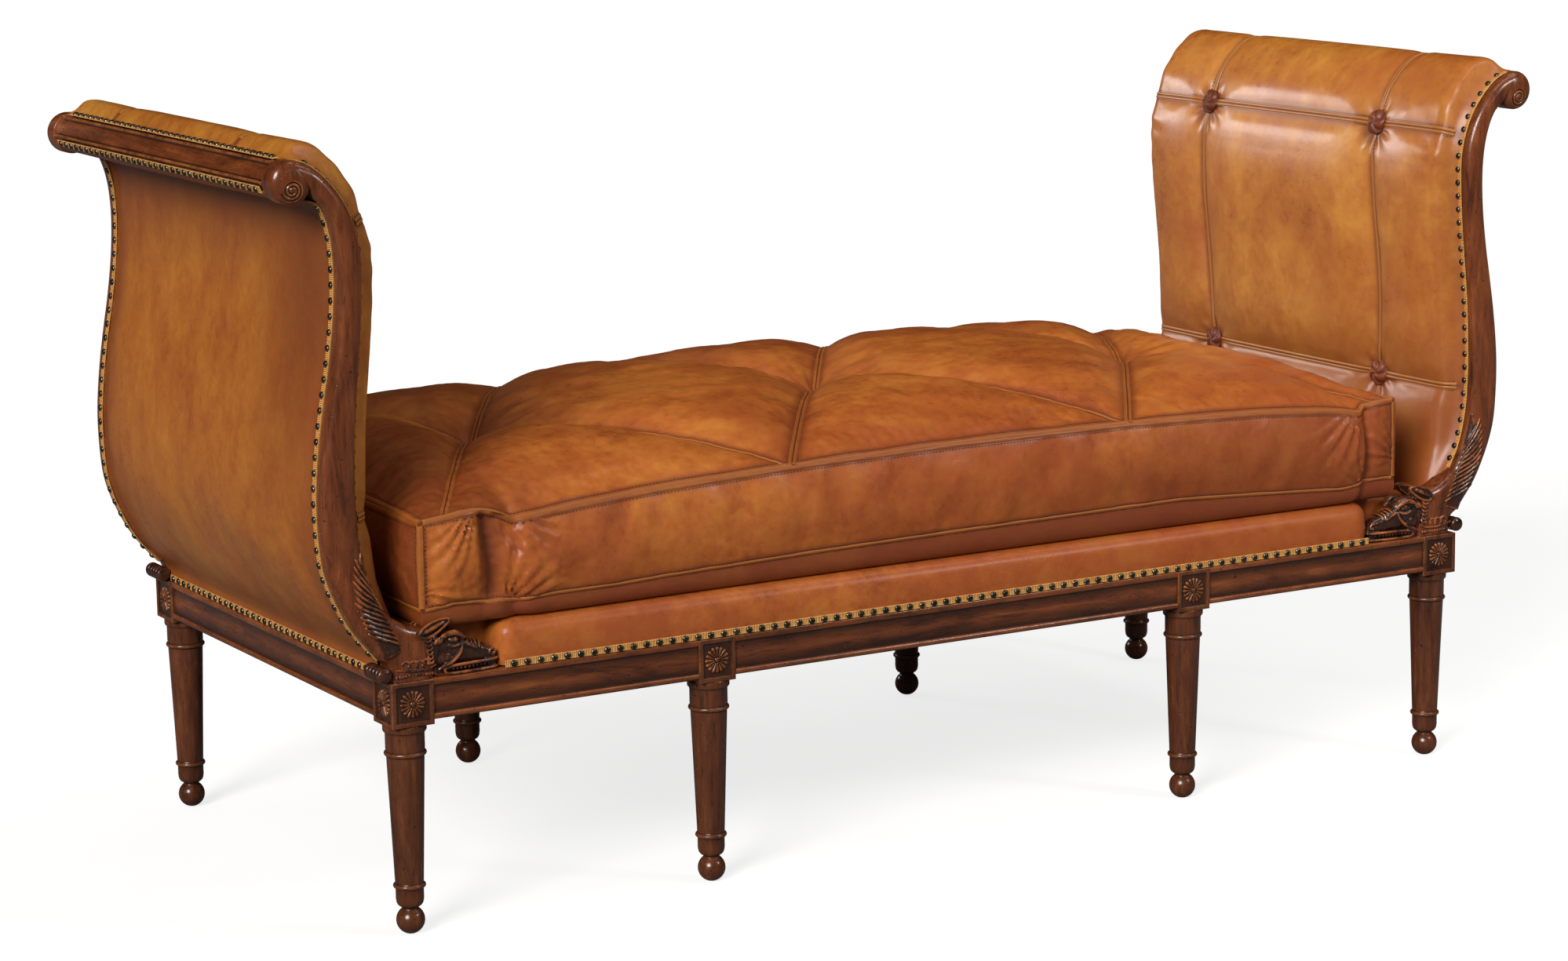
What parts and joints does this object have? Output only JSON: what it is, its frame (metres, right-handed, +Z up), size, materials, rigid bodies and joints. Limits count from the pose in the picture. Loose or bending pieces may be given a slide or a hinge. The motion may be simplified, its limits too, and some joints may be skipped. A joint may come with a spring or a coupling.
{
  "type": "recamier",
  "caption": "Long backless daybed with scrolled, upholstered ends of equal height, turned legs with ball feet and a loose tufted cushion on a padded deck.",
  "frame": {"origin": "on the floor below the middle of the seat frame", "axes": "+X along the seat towards the right end, +Y towards the back, +Z up"},
  "size_m": [1.9114, 0.7728, 0.9781],
  "materials": {
    "walnut": "dark waxed walnut with worn, glossy edges",
    "carved_walnut": "carved dark walnut, glossy on the high points",
    "beech": "plain sawn beech",
    "seat_leather": "mottled cognac aniline leather, waxed",
    "arm_leather": "golden tan aniline leather, darker at its edges",
    "button_leather": "dark tan leather covering",
    "gimp": "golden leather banding",
    "webbing": "woven jute webbing",
    "nail_head": "dark antiqued domed nail heads",
    "thread": "brown waxed thread"
  },
  "bodies": {
    "root": {"leg_front_left": "walnut", "leg_front_left_middle": "walnut", "arm_stile_front_left": "walnut", "carved_head_front_left": "carved_walnut", "corner_roll_front_left": "carved_walnut", "leg_front_right": "walnut", "leg_front_right_middle": "walnut", "arm_stile_front_right": "walnut", "carved_head_front_right": "carved_walnut", "corner_roll_front_right": "carved_walnut", "leg_back_left": "walnut", "leg_back_left_middle": "walnut", "arm_stile_back_left": "walnut", "carved_head_back_left": "carved_walnut", "corner_roll_back_left": "carved_walnut", "leg_back_right": "walnut", "leg_back_right_middle": "walnut", "arm_stile_back_right": "walnut", "carved_head_back_right": "carved_walnut", "corner_roll_back_right": "carved_walnut", "seat_rail_front_left": "walnut", "seat_rail_front_right": "walnut", "seat_rail_front_middle": "walnut", "gimp_front": "gimp", "seat_rail_back_left": "walnut", "seat_rail_back_right": "walnut", "seat_rail_back_middle": "walnut", "gimp_back": "gimp", "side_rail_left": "walnut", "crest_rail_left": "walnut", "cross_rail_left": "beech", "arm_base_rail_left": "beech", "arm_webbing_left": "webbing", "arm_pad_left": "arm_leather", "arm_outer_panel_left": "arm_leather", "gimp_left": "gimp", "arm_button_left_upper_front": "button_leather", "arm_button_left_upper_back": "button_leather", "arm_button_left_lower_front": "button_leather", "arm_button_left_lower_back": "button_leather", "side_rail_right": "walnut", "crest_rail_right": "walnut", "cross_rail_right": "beech", "arm_base_rail_right": "beech", "arm_webbing_right": "webbing", "arm_pad_right": "arm_leather", "arm_outer_panel_right": "arm_leather", "gimp_right": "gimp", "arm_button_right_upper_front": "button_leather", "arm_button_right_upper_back": "button_leather", "arm_button_right_lower_front": "button_leather", "arm_button_right_lower_back": "button_leather", "seat_webbing": "webbing", "seat_pad": "seat_leather", "seat_cushion": "seat_leather"}
  },
  "joints": []
}
